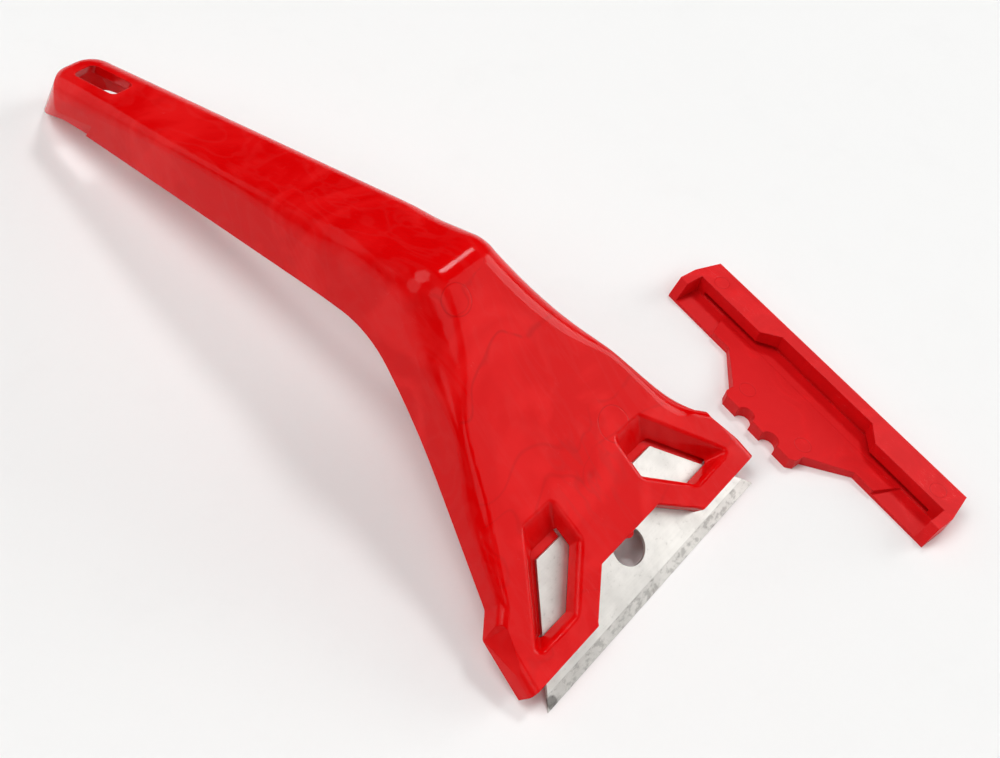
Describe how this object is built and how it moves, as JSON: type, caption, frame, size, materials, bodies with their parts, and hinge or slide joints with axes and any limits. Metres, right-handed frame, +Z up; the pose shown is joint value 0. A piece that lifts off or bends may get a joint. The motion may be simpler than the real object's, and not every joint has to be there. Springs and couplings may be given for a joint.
{
  "type": "window and paint scraper",
  "caption": "Hand scraper with a bent, hollow plastic handle that flares into a wide head, a slide-in trapezoid steel blade and a separate blade guard lying beside it.",
  "frame": {"origin": "middle of the cutting edge, on the bench that the tool lies on", "axes": "+Z up from the bench, +Y forward away from the handle, +X along the cutting edge to the right seen from behind the handle"},
  "size_m": [0.1012, 0.1955, 0.0389],
  "materials": {
    "handle_plastic": "glossy injection-moulded polypropylene, red",
    "blade_steel": "ground carbon steel, satin grey, with a darker bevel",
    "guard_plastic": "satin injection-moulded plastic, red"
  },
  "bodies": {
    "tool": {"handle": "handle_plastic"},
    "blade": {"blade": "blade_steel"},
    "guard": {"blade_guard": "guard_plastic"}
  },
  "joints": [
    {"name": "blade_slide", "type": "slide", "parent": "tool", "child": "blade", "axis": [0, 0.8771, -0.4802], "range_m": [0, 0.025]},
    {"name": "guard_lift", "type": "slide", "parent": "tool", "child": "guard", "axis": [0, 0, 1], "range_m": [0, 0.06]}
  ]
}
